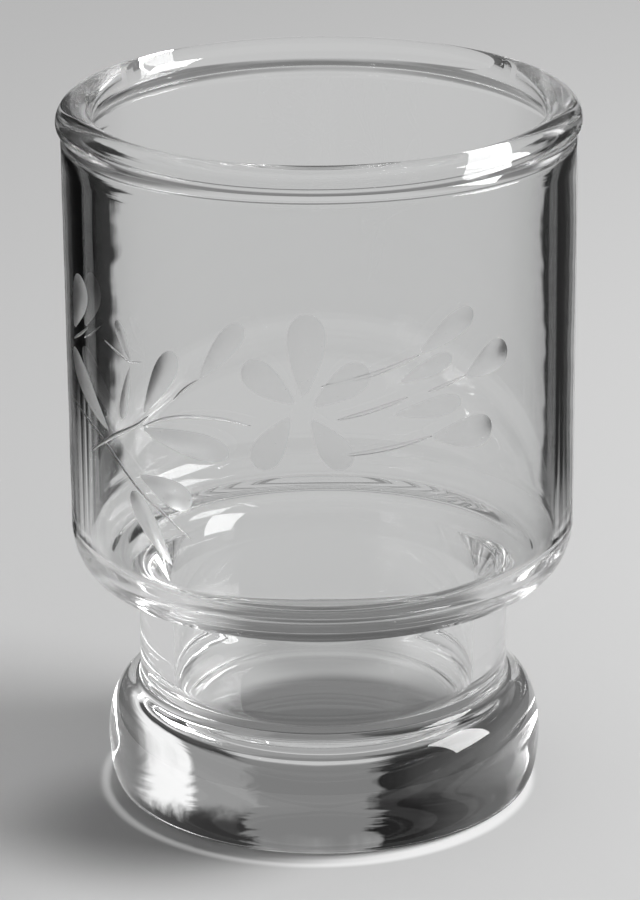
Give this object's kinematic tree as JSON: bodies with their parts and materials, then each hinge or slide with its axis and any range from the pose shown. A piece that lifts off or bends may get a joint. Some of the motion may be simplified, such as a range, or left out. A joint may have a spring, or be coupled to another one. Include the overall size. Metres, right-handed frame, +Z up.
{
  "type": "whisky glass",
  "caption": "Footed whisky tumbler: straight clear-glass bowl with a thick rounded rim, short hollow waist and heavy rounded foot, for serving spirits.",
  "frame": {"origin": "centre of the base, on the table that the glass stands on", "axes": "+Z up the glass's turning axis; +Y away from the viewer of the picture, so the cut spray faces -Y"},
  "size_m": [0.071, 0.071, 0.0981],
  "materials": {
    "clear_glass": "clear, fire-polished, with a satin wheel-cut spray of leaves on the bowl"
  },
  "bodies": {
    "root": {"bowl": "clear_glass", "waist": "clear_glass", "foot": "clear_glass"}
  },
  "joints": []
}
